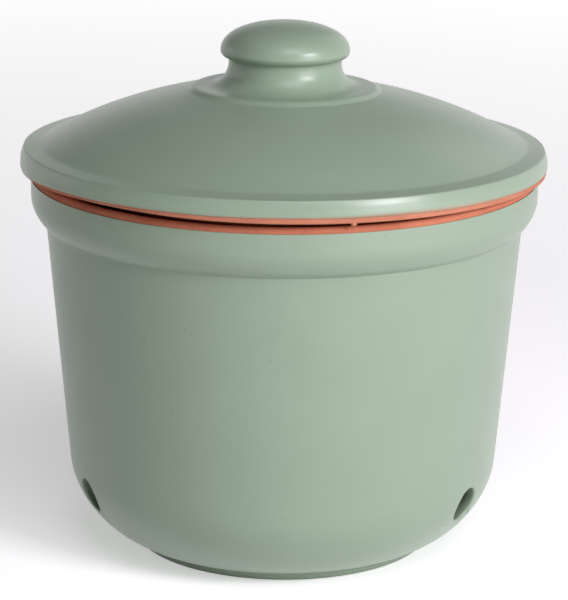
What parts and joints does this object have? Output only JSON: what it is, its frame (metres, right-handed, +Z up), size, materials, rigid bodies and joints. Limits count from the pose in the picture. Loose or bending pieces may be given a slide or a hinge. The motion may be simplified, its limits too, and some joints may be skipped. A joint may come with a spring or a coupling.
{
  "type": "clay storage pot",
  "caption": "Round earthenware storage pot with vent holes near its foot, a rolled rim and a domed lid with a mushroom knob; bare clay inside, coloured coat outside.",
  "frame": {"origin": "centre of the foot's underside, on the surface the pot stands on", "axes": "+Z up along the pot's turning axis, -Y towards the side the picture shows, between the two front vents"},
  "size_m": [0.1986, 0.1986, 0.2004],
  "materials": {
    "bare_clay": "matte fired terracotta",
    "sage_coat": "satin sprayed sage green coat"
  },
  "bodies": {
    "pot": {"pot_body": "bare_clay", "pot_glaze": "sage_coat"},
    "lid": {"lid_body": "bare_clay", "lid_glaze": "sage_coat"}
  },
  "joints": [
    {"name": "lid_lift", "type": "slide", "parent": "pot", "child": "lid", "axis": [0, 0, 1], "range_m": [0, 0.12]}
  ]
}
